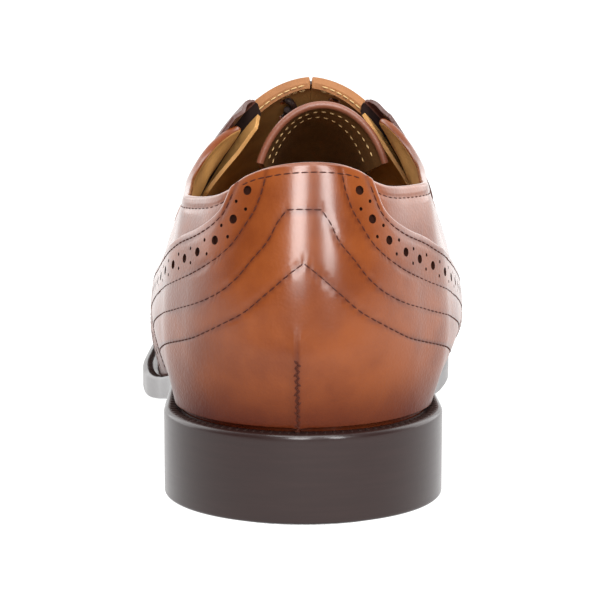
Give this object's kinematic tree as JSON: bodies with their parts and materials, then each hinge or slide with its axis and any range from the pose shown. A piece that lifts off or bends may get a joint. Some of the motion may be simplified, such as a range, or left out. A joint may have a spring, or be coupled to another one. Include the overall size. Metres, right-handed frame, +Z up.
{
  "type": "dress shoe",
  "caption": "Left men's dress shoe: hollow smooth-leather upper on a curved last, welted leather sole, block heel, laced throat, arched tongue and folded elastic side gores.",
  "frame": {"origin": "on the floor, under the middle of the shoe's length and width", "axes": "+Y towards the toe, +X towards the big-toe (medial) side, +Z up from the floor"},
  "size_m": [0.1017, 0.3043, 0.1018],
  "materials": {
    "sole_edge": "dark brown waxed edge, satin",
    "lining": "matt mustard-tan lining leather",
    "upper_leather": "burnished tan smooth leather, polished",
    "elastic": "dark brown ribbed elastic",
    "lace": "dark waxed round cord"
  },
  "bodies": {
    "root": {"heel": "sole_edge", "outsole": "sole_edge", "welt": "sole_edge", "insole": "lining", "upper": "upper_leather", "counter": "upper_leather", "tongue": "lining", "gore_lateral": "elastic", "gore_medial": "elastic", "lace_bar_1": "lace", "lace_bar_2": "lace", "lace_bar_3": "lace", "lace_bar_4": "lace", "lace_bar_5": "lace"}
  },
  "joints": []
}
